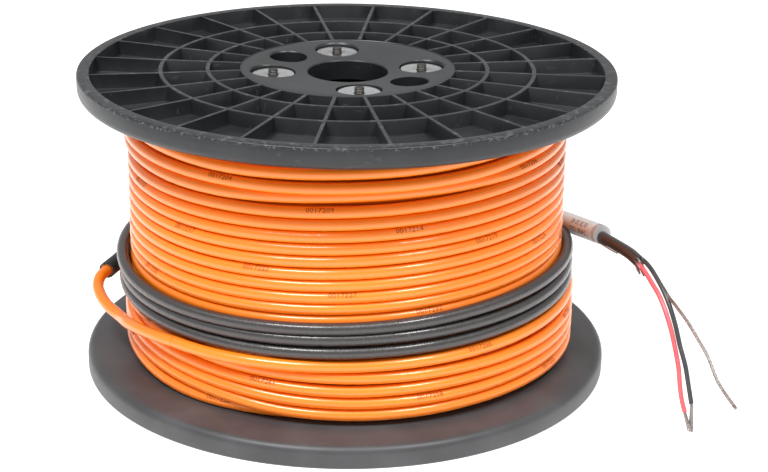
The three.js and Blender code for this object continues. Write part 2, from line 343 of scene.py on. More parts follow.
def smooth_places(knots, spacing):
    """Places along a smooth curve through the knots, about spacing apart, in metres."""
    marks = Route(knots).marks
    lines = [smooth_line(marks, [k[axis] for k in knots]) for axis in range(3)]
    count = max(2, round(marks[-1] / spacing))
    return [Vector([line(marks[-1] * i / count) for line in lines]) for i in range(count + 1)]


REEL_STEP = 4


def around_reel(knots):
    """Places round the reel through knots of (angle, radius, height), in falling order of angle."""
    turns = [-k[0] for k in knots]
    radius = smooth_line(turns, [k[1] for k in knots])
    height = smooth_line(turns, [k[2] for k in knots])
    count = round((turns[-1] - turns[0]) / REEL_STEP)
    angles = [turns[0] + (turns[-1] - turns[0]) * i / count for i in range(count + 1)]
    return [on_reel(-a, radius(a), height(a)) for a in angles]


print("routes are ready")

# %% [markdown]
# ## How a cable is made
# A cable is one round section carried along a route. The section starts as a circle, and each step
# extrudes its rim and moves the new rim to the next place on the route. The turning between two
# places is the shortest one, so the section never twists. Two numbers ride on every corner of the
# section: how far round it lies, and how far along. They become the UV map.

# %% Cables
def into_scene(name, bm, finish, sharp=35):
    """Makes a finished object of a bmesh, with sharp edges where faces meet at more than an angle."""
    mesh = bpy.data.meshes.new(name)
    bm.to_mesh(mesh)
    bm.free()
    mesh.shade_smooth()
    mesh.set_sharp_from_angle(angle=math.radians(sharp))
    mesh.materials.append(finish.material)
    piece = linked(name, mesh)
    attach(piece, "root")
    return piece


def add_to(whole, part):
    """Moves all of one bmesh into another."""
    passing = bpy.data.meshes.new("passing")
    part.to_mesh(passing)
    part.free()
    whole.from_mesh(passing)
    bpy.data.meshes.remove(passing)


def section_frames(places, side):
    """One matrix for each place: it puts the flat section there, square to the route."""
    frames = []
    for i, place in enumerate(places):
        ahead = (places[min(i + 1, len(places) - 1)] - places[max(i - 1, 0)]).normalized()
        side = (side - ahead * side.dot(ahead)).normalized()
        axes = Matrix((side, ahead.cross(side), ahead)).transposed().to_4x4()
        frames.append(Matrix.Translation(place) @ axes)
    return frames


def carried(bm, rim, frames):
    """Carries an open rim of edges through the frames and gives the last rim. The rim lies in the
    first frame. Its corners keep their number round the section, and get the distance along."""
    along = bm.verts.layers.float["along"]
    distance = 0.0
    for before, after in zip(frames, frames[1:]):
        distance += (after.translation - before.translation).length
        made = bmesh.ops.extrude_edge_only(bm, edges=rim)["geom"]
        corners = [g for g in made if isinstance(g, bmesh.types.BMVert)]
        rim = [g for g in made if isinstance(g, bmesh.types.BMEdge)]
        bmesh.ops.transform(bm, matrix=after @ before.inverted(), verts=corners)
        for corner in corners:
            corner[along] = distance
    return rim


def cable_bmesh(places, diameter, sides, side=Vector((0, 0, 1)), flat=1.0):
    """A closed round cable along the places. Flat squashes the section across its side."""
    bm = bmesh.new()
    around = bm.verts.layers.float.new("around")
    bm.verts.layers.float.new("along")
    frames = section_frames(places, side)
    corners = bmesh.ops.create_circle(bm, segments=sides, radius=diameter / 2)["verts"]
    for i, corner in enumerate(corners):
        corner[around] = i / sides
    bmesh.ops.scale(bm, vec=(flat, 1, 1), verts=corners)
    bmesh.ops.transform(bm, matrix=frames[0], verts=corners)
    first = list(bm.edges)
    last = carried(bm, first, frames)
    map_along(bm)
    bmesh.ops.contextual_create(bm, geom=first)
    bmesh.ops.contextual_create(bm, geom=last)
    bmesh.ops.recalc_face_normals(bm, faces=bm.faces)
    return bm


def map_along(bm):
    """The UV map: once round the section in u, and metres along the cable in v."""
    around, along = bm.verts.layers.float["around"], bm.verts.layers.float["along"]
    uv = bm.loops.layers.uv.new("along")
    for face in bm.faces:
        wraps = max(v[around] for v in face.verts) > 0.75
        for loop in face.loops:
            turn = loop.vert[around]
            loop[uv].uv = (turn + 1 if wraps and turn < 0.25 else turn, loop.vert[along])


def cable(name, places, diameter, finish, sides=16, flat=1.0):
    return into_scene(name, cable_bmesh(places, diameter, sides, flat=flat), finish, 60)


print("cables are ready")

# %% [markdown]
# ## The cold lead
# The black lead starts inside the splice sleeve at the left, climbs over the last orange turn behind
# the reel, and goes round it clockwise three times and a half. Its last half turn lies loose over
# the others and leaves along a tangent at the right. The whole of it shows from end to end, so its
# real length is that of this route. The knots are the angle round the reel, the radius and the
# height, as they were measured at the front and closed up behind.

# %% Route of the cold lead
LEAD_DIAMETER = 5.7
LEAVING_ANGLE = 22.5
LEAVING_RADIUS = 108.25

lead_knots = [
    (166, 117.0, 40.1), (161, 115.2, 39.7), (150, 113.6, 40.4), (130, 113.0, 43.3), (110, 111.6, 46.2),
    (90, 109.4, 47.6), (60, 107.6, 48.3), (30, 107.5, 48.6), (0, 107.5, 48.9), (-26, 107.5, 49.0),
    (-42, 107.5, 48.9), (-58, 107.5, 48.4), (-74, 107.5, 47.8), (-90, 107.5, 47.1), (-106, 107.5, 46.3),
    (-122, 107.5, 45.6), (-138, 107.5, 45.1), (-154, 107.5, 45.1), (-180, 107.5, 45.9),
    (-210, 107.5, 47.5), (-230, 107.5, 49.3), (-250, 107.5, 51.5), (-270, 107.5, 53.2),
    (-300, 107.5, 54.2), (-330, 107.5, 54.7), (-360, 107.5, 55.2), (-386, 107.5, 55.4),
    (-402, 107.5, 55.2), (-418, 107.5, 54.9), (-434, 107.5, 54.3), (-450, 107.5, 53.4),
    (-466, 107.5, 52.4), (-482, 107.5, 51.6), (-498, 107.5, 50.9), (-514, 107.5, 50.7),
    (-540, 107.5, 51.7), (-570, 107.5, 53.4), (-590, 107.5, 55.1), (-610, 107.5, 57.2),
    (-630, 107.5, 58.9), (-660, 107.5, 60.0), (-690, 107.5, 60.5), (-720, 107.5, 61.2),
    (-746, 107.5, 62.2), (-762, 107.5, 62.0), (-778, 107.5, 61.2), (-794, 107.5, 59.7),
    (-810, 107.6, 58.5), (-826, 107.8, 57.5), (-842, 108.0, 56.6), (-858, 108.3, 56.1),
    (-874, 108.6, 56.3), (-890, 108.7, 57.2), (-900, 108.8, 57.9), (-930, 109.2, 59.4),
    (-950, 110.1, 60.5), (-970, 111.4, 61.5), (-990, 112.5, 62.0), (-1020, 113.0, 62.1),
    (-1045, 113.0, 62.1),
]


def beside_reel(along, outward, height):
    """A place beside the reel: along the lead's leaving line, outward from it, and up."""
    a = math.radians(LEAVING_ANGLE)
    radius = LEAVING_RADIUS + outward
    x = radius * math.cos(a) + along * math.sin(a)
    y = radius * math.sin(a) - along * math.cos(a)
    return Vector((x, y, height)) * MM


free_lead = [
    (0, 4.4, 62.15), (22, 0.9, 63.4), (42, 0.4, 65.3), (59.7, 0, 67.2), (75.6, 0, 68.0), (89, 0, 68.0),
    (95.5, 0, 67.0),
]
wound_lead = around_reel(lead_knots)
leaving_knots = wound_lead[-2:] + [beside_reel(*k) for k in free_lead]
leaving_end = smooth_places(leaving_knots, 0.004)
lead_route = Route(wound_lead[:-2] + leaving_end)
cold_lead = cable("cold_lead", lead_route.places, LEAD_DIAMETER * MM, black_jacket, 18)
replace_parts(cold_lead, "cold_lead_turns", "cold_lead_tail")
print("the cold lead is", round(lead_route.length, 3), "m long")

# %% [markdown]
# ## The end of the heating cable
# At the lower left the last orange turn lifts off the reel, bulges out and turns back into the mouth
# of the splice sleeve. It is made as a cable of its own, from the place where it leaves the other
# turns to its end inside the sleeve.

# %% Free end of the heating cable
CABLE_DIAMETER = 5.5
tail_lift = [(-134, 111.4, 39.9), (-139, 111.8, 39.1), (-146.5, 112.3, 37.6), (-154, 112.8, 35.6)]
tail_bulge = [
    (-107.85, -32.95, 32.6), (-115.3, -21.6, 33.8), (-119.5, -12.7, 35.7), (-121.3, -5.1, 37.7),
    (-120.7, 0, 39.6), (-118.9, 4.8, 40.2), (-116.7, 11.4, 40.2), (-114.9, 17.2, 40.2),
]
tail_knots = [on_reel(*k) for k in tail_lift] + [Vector(p) * MM for p in tail_bulge]
tail_route = Route(smooth_places(tail_knots, 0.002))
heating_tail = cable("heating_cable_end", tail_route.places, CABLE_DIAMETER * MM, orange)
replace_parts(heating_tail, "heating_cable_tail")
print("the free end of the heating cable is", round(tail_route.length * 1000), "mm long")

# %% [markdown]
# ## Finishes of the wires
# The cores are insulated with smooth plastic, which is a little worn by handling. Both finishes come
# from one function. Bare copper is tinned, and has dulled unevenly.

# %% Finishes of the wires
def insulation(name, roughness, worn, fresh):
    """Smooth wire insulation that goes from a worn to a fresh tone."""
    finish = Finish(name, Specular_IOR_Level=0.5, Roughness=roughness)
    wear = finish.noise(300, 3)
    finish.tone(wear, worn, fresh)
    finish.bump(wear, 0.00005, 0.4)
    return finish


red_core_finish = insulation("red_insulation", 0.34, (0.66, 0.08, 0.1), (0.74, 0.15, 0.17))
black_core_finish = insulation("black_insulation", 0.32, (0.03, 0.033, 0.036), (0.06, 0.066, 0.07))

tinned = Finish("tinned_copper", Metallic=1.0)
tinned_tone = tinned.noise(900, 3)
tinned.tone(tinned_tone, (0.16, 0.13, 0.12), (0.5, 0.46, 0.43))
tinned.set("Roughness", 0.3 + tinned_tone * 0.25)
tinned.bump(tinned.noise(2600, 2), 0.00005, 0.5)
print("three wire finishes")

# %% [markdown]
# ## Cores and braid
# The jacket is cut back, and three things come out of it: a black core, a red core and a ground
# braid. They hang under their own weight. Their knots lie along the line by which the lead leaves
# the reel, because the wires stay close to one upright plane.

# %% Routes of the wires
CORE_DIAMETER = 2.2
black_core_knots = [
    (88.5, 1.1, 68.6), (92.7, 1.3, 68.4), (101.4, 0.9, 67.8), (110.8, 0.4, 64.4), (117.2, 0.1, 61),
    (123.1, 0, 56.2), (129.2, 0, 48.8), (134.6, 0, 40), (139.7, 0, 33), (143.4, 0, 25), (146.9, 0, 17.1),
]
red_core_knots = [
    (88.5, -0.9, 67.4), (92.7, -1.1, 67.2), (101.4, -1.3, 65.6), (110.4, -1.7, 62.0),
    (116.8, -1.9, 59.0), (122.6, -2.1, 54.5), (128.8, -2.2, 47.5), (134.2, -2.3, 38.9),
    (138.6, -2.7, 31.5), (141.1, -2.9, 23.5), (143.4, -2.8, 17.4), (145.9, -2.5, 12.8),
]
braid_knots = [
    (88.5, 1.4, 68.2), (92.7, 1.9, 67.8), (100, 1.8, 67.0), (109, 1.4, 64.2), (117, 1.1, 60.8),
    (123, 0.5, 58.8), (127, 0.1, 58.2), (132.5, 0, 56.5), (140.5, 0, 53.3), (148.5, 0, 49.2), (156, 0, 45.1),
    (166.1, 0, 36.3), (175.9, 0, 31.9), (181.2, 0, 30),
]


def wire_route(knots):
    return Route(smooth_places([beside_reel(*k) for k in knots], 0.002))


black_core_route = wire_route(black_core_knots)
red_core_route = wire_route(red_core_knots)
braid_route = wire_route(braid_knots)
core = CORE_DIAMETER * MM
black_line, red_line = black_core_route.places, red_core_route.places
black_core = cable("black_core_wire", black_line, core, black_core_finish, 14)
red_core = cable("red_core_wire", red_line, core, red_core_finish, 14)
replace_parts(black_core, "black_core")
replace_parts(red_core, "red_core")
for name, route in (("black core", black_core_route), ("red core", red_core_route), ("braid", braid_route)):
    print(name, round(route.length * 1000), "mm")

# %% [markdown]
# ## Bare strands
# Each bare tip is a bundle of eight thin strands. One strand lies in the middle and the others wind
# round it, and they part a little towards the end. Each strand is a thin cable of its own, and the
# bundle is joined into one mesh.

# %% Strands at the tips of the cores
def bundle(name, middle, spread, strand_diameter, count, lay):
    """Tinned strands wound round a middle line. Spread gives their distance from it at start and
    end, and lay the length of one full turn round it."""
    whole = bmesh.new()
    route = Route(middle)
    aside = Vector((1, 0, 0))
    frames = section_frames(middle, aside)
    for k in range(count):
        places = []
        for here, mark in zip(frames, route.marks):
            share = mark / route.length
            turn = 2 * math.pi * (k / (count - 1) + mark / lay)
            reach = 0 if k == count - 1 else spread[0] + (spread[1] - spread[0]) * share
            places.append(here @ Vector((reach * math.cos(turn), reach * math.sin(turn), 0)))
        add_to(whole, cable_bmesh(places, strand_diameter, 6, aside))
    return into_scene(name, whole, tinned, 60)


def bare_tip(name, knots):
    places = smooth_places([beside_reel(*k) for k in knots], 0.0008)
    return bundle(name, places, (0.0005, 0.0009), 0.0005, 8, 0.016)


black_tip = [(146.2, 0, 18.6), (146.9, 0, 16.9), (147.3, 0.1, 12.5), (147.6, 0.2, 8), (147.8, 0.2, 3.6)]
red_tip = [
    (145.3, -2.6, 13.9), (145.9, -2.5, 12.6), (147.0, -1.9, 9.4), (147.6, -1.0, 6.0), (147.5, -0.4, 4.2),
]
black_strands = bare_tip("black_core_bare_strands", black_tip)
red_strands = bare_tip("red_core_bare_strands", red_tip)
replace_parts(black_strands, "black_core_strands")
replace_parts(red_strands, "red_core_strands")
print("bare strands on both cores")

# %% [markdown]
# ## Ground braid
# The braid is a flat tube of fine tinned wires, pulled out straight. Two sets of strands that wind
# opposite ways round one flat heart give its crossing look at this size. A short bundle that opens
# a little is the tuft at its end.

# %% Ground braid
braid_line = braid_route.places
braid_core = bundle("ground_braid_wires", braid_line, (0.00062, 0.00066), 0.00042, 9, 0.011)
braid_cover = bundle("ground_braid_cross_wires", braid_line, (0.00066, 0.00072), 0.00036, 7, -0.011)
braid_heart = cable("ground_braid_heart", braid_line, 0.0013, tinned, 10, flat=0.7)
tuft = bundle("ground_braid_tuft", braid_line[-5:], (0.0005, 0.0007), 0.00032, 9, 0.03)
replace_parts(braid_core, "ground_braid")
print("ground braid with a flared tuft")

# %% [markdown]
# ## Foil at the end of the jacket
# A shield of metal foil lies under the jacket. Where the jacket was cut, torn ends of it stick out
# all round the cores. They are thin flat ribbons that start under the jacket. Seeded random numbers
# vary their reach and their direction, the same way in each run.

# %% Foil
random.seed(7)
foil = bmesh.new()
for k in range(9):
    a = 2 * math.pi * k / 9 + random.uniform(-0.2, 0.2)
    out, rise = math.cos(a), math.sin(a)
    reach = random.uniform(1.5, 4.5)
    ribbon = [
        beside_reel(92.5, out * 2.3, 67.5 + rise * 2.3),
        beside_reel(96.2, out * 2.6, 66.9 + rise * 2.6),
        beside_reel(96.2 + reach, out * random.uniform(1.8, 3.4), 66 + rise * 3 - reach * 0.3),
    ]
    add_to(foil, cable_bmesh(smooth_places(ribbon, 0.0008), 0.0011, 8, flat=0.25))
torn_foil = into_scene("torn_foil", foil, tinned, 40)
print("nine ribbons of foil")

# %% [markdown]
# ## Finishes of the label
# The label is glossy white film, a little wavy, and clear without print at one end. Its white is
# cool, because the orange cable beside it throws warm light on it.

# %% Label finishes
label_print = Finish("label_film", Specular_IOR_Level=0.4)
label_shade = label_print.noise(60, 2)
label_print.tone(label_shade, (0.62, 0.78, 0.82), (0.72, 0.88, 0.93))
label_print.set("Roughness", 0.35 + label_shade * 0.15)
label_print.bump(label_print.noise(120, 2), 0.0004, 0.4)
label_clear = Finish("label_clear_end", Roughness=0.25, Alpha=0.45)
label_clear.tone(label_clear.noise(200, 2), (0.62, 0.62, 0.62), (0.8, 0.8, 0.8))
ink = Finish("label_ink", Roughness=0.5)
ink.tone(ink.noise(900, 2), (0.03, 0.03, 0.035), (0.09, 0.08, 0.08))
print("label finishes")

# %% [markdown]
# ## The label
# A printed film is wrapped round the lead as a loose tube, and its far end is clear. An open tube
# has an outer and an inner skin, which are carried along the same frames and joined at both mouths.
# A strip of the film has come loose and lies along the lead's underside.

# %% Label tube
def sleeve(name, places, diameter, wall, finish, sides=24):
    """An open tube with a wall: an outer skin and an inner one, joined at both mouths."""
    bm = bmesh.new()
    around = bm.verts.layers.float.new("around")
    bm.verts.layers.float.new("along")
    frames = section_frames(places, Vector((0, 0, 1)))
    mouths = []
    for radius in (diameter / 2, diameter / 2 - wall):
        corners = bmesh.ops.create_circle(bm, segments=sides, radius=radius)["verts"]
        for i, corner in enumerate(corners):
            corner[around] = i / sides
        bmesh.ops.transform(bm, matrix=frames[0], verts=corners)
        first = list({edge for corner in corners for edge in corner.link_edges})
        mouths.append((first, carried(bm, first, frames)))
    for outer, inner in zip(*mouths):
        bmesh.ops.bridge_loops(bm, edges=outer + inner)
    map_along(bm)
    bmesh.ops.recalc_face_normals(bm, faces=bm.faces)
    return into_scene(name, bm, finish, 40)


LABEL_DIAMETER, FILM = 9.8, 0.00035
PRINTED_SHARE = 0.84
label_axis = [beside_reel(22, 0, 62.8), beside_reel(60.3, 0, 68.5)]
label_places = smooth_places(label_axis, 0.003)
clear_from = round(len(label_places) * PRINTED_SHARE)
printed, clear = label_places[: clear_from + 1], label_places[clear_from:]
label = sleeve("label_tube", printed, LABEL_DIAMETER * MM, FILM, label_print, 32)
clear_end = sleeve("label_clear_tube", clear, LABEL_DIAMETER * MM, FILM, label_clear, 32)
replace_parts(label, "label_sleeve")

film_knots = ((57, -1.5, 64.6), (65, -2.2, 65.2), (73, -2.4, 65.5), (79, -2.2, 65.7))
film_places = smooth_places([beside_reel(*k) for k in film_knots], 0.003)
loose_film = cable("label_loose_film", film_places, 0.0013, label_print, 8, flat=0.35)
print("label", round((label_places[-1] - label_places[0]).length * 1000), "mm long")

# %% [markdown]
# ## Splice sleeve
# Heat-shrink tube covers the splice. It is matt and has an open mouth, where the adhesive lining
# shows as a pale ring round the orange cable.

# %% Splice sleeve
shrink = Finish("shrink_sleeve", Specular_IOR_Level=0.4)
shrink_grain = shrink.noise(500, 4)
shrink.tone(shrink_grain, (0.012, 0.012, 0.013), (0.03, 0.03, 0.031))
shrink.set("Roughness", 0.5 + shrink_grain * 0.15)
shrink.bump(shrink.noise(160, 3), 0.0002, 0.6)
lining = Finish("sleeve_lining", Roughness=0.3)
lining.tone(lining.noise(900, 2), (0.85, 0.32, 0.13), (0.95, 0.5, 0.28))

sleeve_knots = [
    (-118.4, 6.2, 40.3), (-116.7, 11.4, 40.3), (-114.7, 17.8, 40.2), (-111.6, 29, 40), (-108.6, 38.2, 39.6),
]
sleeve_places = smooth_places([Vector(p) * MM for p in sleeve_knots], 0.002)
splice = sleeve("splice_shrink_tube", sleeve_places, 0.0081, 0.0008, shrink, 28)
adhesive = sleeve("splice_adhesive_ring", sleeve_places[:3], 0.00682, 0.0006, lining, 28)
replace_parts(splice, "splice_sleeve")
print("splice sleeve with its adhesive ring")

# %% [markdown]
# ## The free cords
# The free cords are the cold lead, the end of the heating cable, the two cores and the braid. Their
# lengths are printed where they are made.

print("five free cords: the lead, the cable end, two cores and the braid")

# %% [markdown]
# ## Route of the wound cable
# The cable fills the reel in eleven layers. Only the outermost turns show, so they are modelled as
# one true helix, and a turned body below them stands for the layers beneath. At the front each turn
# drops by about one pitch, and behind the reel it runs nearly level. The heights are those of the
# turns at the middle of the front. The upper turns wander, so they have tables of their own.

# %% Heights of the turns
TURN_RADIUS = 102.05
LAST_LAYER_TURN_RADIUS = 107.25
ANGLES = (64, 48, 32, 16, 0, -16, -32, -48, -64)
RISE = (3.05, 2.75, 2.1, 1.15, 0, -1.15, -2.1, -2.75, -3.05)
FRONT_HEIGHTS = [
    105.0, 99.4, 93.7, 88.1, 82.3, 76.8, 71.2, 65.9, 60.3, 54.7, 49.1, 43.5, 37.9, 32.3, 26.7, 21.1,
]
upper_turns = [
    [131.9, 131.0, 130.0, 128.8, 128.0, 126.9, 126.1, 126.5, 127.2],
    [125.3, 124.5, 123.3, 122.4, 121.7, 120.7, 120.0, 119.8, 119.9],
    [119.7, 119.0, 118.5, 118.1, 117.3, 115.8, 114.8, 114.3, 114.9],
    [113.9, 113.5, 112.7, 111.7, 110.6, 109.5, 108.7, 107.9, 107.3],
]
wander = {
    0: (0, 0, 0, 0, 0, 0, 0, 0.5, 1.0),
    1: (0, 0, 0.6, 0.9, 0.9, 0.6, 0, 0.5, 1.0),
    2: (0, 0, -1.2, -1.6, -1.6, -1.2, 0, 0.3, 0.8),
}

turn_knots = [(-52, 97.2, 132.6), (-64, 97.8, 132.7), (-76, 98.4, 132.7), (-90, 99.6, 132.75)]
turn_knots += [(-106, 102.0, 132.6), (-122, TURN_RADIUS, 132.3), (-154, TURN_RADIUS, 132.0)]
turn_knots += [(-210, TURN_RADIUS, 131.9), (-330, TURN_RADIUS, 131.9)]
rows = upper_turns + [[middle + rise for rise in RISE] for middle in FRONT_HEIGHTS]
for turn, row in enumerate(rows):
    front = -450 - 360 * turn
    offsets = wander.get(turn, (0,) * 9)
    turn_knots += [(front + a, TURN_RADIUS + o, z) for a, z, o in zip(ANGLES, row, offsets)]
print(len(rows) + 1, "turns in the outer layer")

# %% [markdown]
# ## The last layer
# After the bottom of the outer layer the cable climbs on top of it, makes five more turns upward at
# the lower end, and leaves as the free end. Its turns fan out towards the left, where each one makes
# room for the next. The free end crosses over the turn before it.

# %% Turns of the last layer
front = -450 - 360 * len(rows)


def last_layer_radius(angle):
    """The last layer sits a little to the right: its turns lie deeper at the left."""
    return LAST_LAYER_TURN_RADIUS - 0.4 + 1.7 * math.cos(math.radians(angle))


last_layer = [
    (64, TURN_RADIUS, 16.3), (32, TURN_RADIUS, 15.6), (16, TURN_RADIUS, 14.9),
    (-16, 102.2, 14.6), (-24, 103.4, 14.6), (-32, 104.6, 14.6), (-40, 105.5, 14.6), (-48, 105.6, 14.8),
    (-56, 105.45, 15.3), (-64, 105.3, 16.2),
]
turn_knots += [(front + a, r, z) for a, r, z in last_layer]
last_rows = [
    (17.3, 17.6, 17.5, 16.9, 16.7, 17.3, 19.4, 20.9, 22.3),
    (23.2, 23.5, 23.1, 22.6, 22.4, 23.1, 24.7, 26.1, 27.6),
    (28.4, 28.9, 29.1, 28.6, 28.1, 28.8, 30.2, 31.3, 31.9),
    (34.1, 34.6, 34.9, 34.7, 34.6, 35.0, 35.9, 38.0, 39.5),
]
for turn, row in enumerate(last_rows):
    middle = front - 360 * (turn + 1)
    turn_knots += [(middle + a, last_layer_radius(middle + a), z) for a, z in zip(ANGLES, row)]
middle = front - 360 * 5
turn_knots += [
    (middle + 180, 107.25, 41.5), (middle + 64, 108.3, 42.4), (middle + 48, 108.1, 42.1),
    (middle + 32, 107.8, 41.7), (middle + 16, 107.5, 41.1), (middle, 107.5, 40.4),
    (middle - 16, 109.0, 40.3), (middle - 32, 110.8, 40.2), (middle - 44, 111.4, 39.9),
]
winding_route = Route(around_reel(turn_knots))
diameter = CABLE_DIAMETER * MM
wound_cable = cable("wound_heating_cable", winding_route.places, diameter, orange, 14)
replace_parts(wound_cable, "cable_winding")
print("outer turns:", round(winding_route.length, 2), "m of cable")

# %% [markdown]
# ## The layers beneath
# A turned body with a crest for each turn stands for the layers beneath. It shows only in the gaps.
# The section is drawn once as a chain of edges and spun round the reel's axis.

# %% Turned pieces
def chain(bm, outline, closed=False):
    """Corners and edges of a section, from its (radius, height) points in millimetres."""
    corners = [bm.verts.new((r * MM, 0, z * MM)) for r, z in outline]
    after = corners[1:] + corners[:1] if closed else corners[1:]
    return corners + [bm.edges.new(pair) for pair in zip(corners, after)]


def spun(outline, sides, closed=True):
    """A turned bmesh from its section."""
    bm = bmesh.new()
    bmesh.ops.spin(
        bm, geom=chain(bm, outline, closed), axis=(0, 0, 1), cent=(0, 0, 0), angle=2 * math.pi,
        steps=sides, use_merge=True,
    )
    bmesh.ops.remove_doubles(bm, verts=bm.verts, dist=1e-7)
    bmesh.ops.recalc_face_normals(bm, faces=bm.faces)
    return bm


GROOVE_RADIUS, CREST, CREST_PITCH = 97.2, 2.3, 5.52
LAYERS_BORE, LAYERS_LOW, LAYERS_HIGH = 51.1, 12.1, 135.3
crests = []
for k in range(22):
    low = 13.0 + CREST_PITCH * k
    for degrees in (0, 40, 90, 140):
        a = math.radians(degrees)
        crests.append((GROOVE_RADIUS + CREST * math.sin(a), low + CREST_PITCH / 2 * (1 - math.cos(a))))
beneath = [(LAYERS_BORE, LAYERS_LOW), (GROOVE_RADIUS, LAYERS_LOW)] + crests
beneath += [(GROOVE_RADIUS, LAYERS_HIGH), (LAYERS_BORE, LAYERS_HIGH)]
inner_layers = into_scene("inner_layers", spun(beneath, 144), orange, 50)
print("layers beneath:", len(inner_layers.data.polygons), "faces")

# %% [markdown]
# ## Black moulded plastic
# The reel is injection moulded in black plastic. It is dull, a little dusty in the pockets, and its
# exposed edges are nicked and scuffed pale. The pale marks follow the rim's outer edge, so the mask
# is made from the radius and the height on the reel, and noise breaks it up. Four ejector pins left
# round marks on the hub. The bottom flange gets a paler copy of the finish: painted light, which
# stands in for the white floor's light on it.

# %% Black plastic finish
EJECTOR_MARKS = [
    (-0.0225, -0.0225, 0.0019), (0.0165, 0.0245, 0.0019), (-0.038, 0.012, 0.0035), (0.0435, -0.008, 0.0022),
]


def moulded_plastic(name, dark, dusty, rough):
    """Black plastic with dust, fine scratches, ejector marks and pale nicks on the rim's edge."""
    finish = Finish(name, Specular_IOR_Level=0.45)
    place = finish.place()
    x, y, z = (finish.parts(place, axis) for axis in "XYZ")
    radius = (x * x + y * y).math("SQRT")
    speckle = finish.noise(1500, 4)
    cloud = finish.noise(35, 4)
    scratch = finish.between(finish.noise(90, 5, stretch=(1, 9, 3)), 0.64, 0.72)
    edge = finish.between(radius, 0.1262, 0.1268) * finish.between(z, 0.1455, 0.1463)
    nick = edge * finish.between(finish.noise(700, 5), 0.52, 0.7)
    rib_top = finish.between(radius, 0.0515, 0.052) * finish.between(z, 0.1469, 0.14705)
    scuff = rib_top * finish.between(finish.noise(330, 5), 0.52, 0.68)
    marks = 0
    for at_x, at_y, size in EJECTOR_MARKS:
        off_x, off_y = x - at_x, y - at_y
        away = ((off_x * off_x + off_y * off_y).math("SQRT") - size).math("ABSOLUTE")
        marks = marks + (1 - finish.between(away, 0.0001, 0.00035))
    marks = marks * finish.between(z, 0.1445, 0.145)
    dust_share = finish.between(cloud, 0.3, 0.75) * 0.7 + finish.between(speckle, 0.6, 0.75) * 0.4
    tone = finish.mix(dust_share, dark, dusty)
    tone = finish.mix(scratch * 0.3, tone, (0.07, 0.07, 0.07))
    tone = finish.mix(nick * 0.5, tone, (0.2, 0.2, 0.19))
    tone = finish.mix(marks * 0.5, tone, (0.004, 0.004, 0.004))
    finish.tone(scuff * 0.5, tone, (0.11, 0.115, 0.12))
    finish.set("Roughness", rough + cloud * 0.14 + nick * 0.2 + scratch * 0.1 + scuff * 0.1)
    finish.bump(speckle * 0.4 + cloud * 2 + nick * 2 + scuff * 2 - marks * 4, 0.00005, 0.7)
    return finish


black_plastic = moulded_plastic("black_plastic", (0.01, 0.011, 0.0125), (0.024, 0.026, 0.028), 0.31)
# A paler copy of the same finish for the bottom flange: the white floor's light on it is painted into the
# colour.
painted_floor_light_plastic = moulded_plastic("black_plastic_painted_floor_light", (0.04, 0.041, 0.044), (0.075, 0.077, 0.081), 0.36)
print("black moulded plastic, plain and with painted floor light")

# %% [markdown]
# ## A flange's section
# Both flanges are the same moulding. The rim, web and hub come from one section of radius and depth
# below the rim's plane. It starts at the arbor hole, crosses the dished hub and the web to the rim,
# and comes back along the inner face. The web is still level here: its pockets are made later.

# %% Section of the flange
FLANGE_RADIUS, INNER_FACE, POCKET_DEPTH = 127.0, 11.8, 7.4
RIB_LEVEL = 0.3
HUB_RADIUS, HUB_LEVEL, HUB_DISH, ARBOR_RADIUS = 50.8, 0.7, 1.7, 19.05
RIB_COUNT, RIB_THICKNESS = 24, 1.8
STEPS = RIB_COUNT * 8
RIM_BORE = 121.1
web_radii = (HUB_RADIUS, 65.0, 67.0, 87.0, 89.0, RIM_BORE)


def hub_surface(radius):
    """How far the dished hub lies below the rim's plane."""
    return HUB_LEVEL + HUB_DISH * max(0, 45.8 - radius) / (45.8 - ARBOR_RADIUS)


def arc(radius, depth, size):
    """A quarter of a round edge, by its centre and its size."""
    angles = [math.radians(a) for a in range(0, 91, 15)]
    return [(radius + size * math.cos(a), depth + size * math.sin(a)) for a in angles]


flange_section = (
    [(ARBOR_RADIUS, hub_surface(ARBOR_RADIUS) + 0.5), (ARBOR_RADIUS + 0.5, hub_surface(ARBOR_RADIUS))]
    + [(r, hub_surface(r)) for r in (23, 28, 34, 40, 45.8, 49.9)]
    + [(50.5, 0.8)]
    + [(r, RIB_LEVEL) for r in web_radii]
    + [(121.2, 0.06), (121.5, 0), (125.9, 0), (126.5, 0.16), (126.85, 0.45), (FLANGE_RADIUS, 0.9)]
    + arc(FLANGE_RADIUS - 4, 6.4, 4)
    + [(118.5, 11.2), (114, INNER_FACE), (80, INNER_FACE), (47.8, INNER_FACE), (47.8, 7.0)]
    + [(22.55, 7.0), (22.55, INNER_FACE), (ARBOR_RADIUS, INNER_FACE)]
)
print("section with", len(flange_section), "points")

# %% [markdown]
# ## Pockets between the ribs
# The section is spun in 192 steps, so that eight steps fit each of the 24 sectors. Next to every rib
# the grid lines are moved until they lie at the rib's two faces. The faces between the ribs and rings
# are then extruded down as pockets, and the edges at the top and on the floors are bevelled.

# %% Pockets and bevels
def sector_offset(point):
    """The angle in degrees from a point to the nearest rib's middle."""
    angle = math.degrees(math.atan2(point.y, point.x))
    sector = 360 / RIB_COUNT
    return (angle + sector / 2) % sector - sector / 2


def on_web(vert):
    radius = vert.co.xy.length / MM
    return abs(vert.co.z / MM - RIB_LEVEL) < 0.01 and HUB_RADIUS - 0.1 < radius < RIM_BORE + 0.05


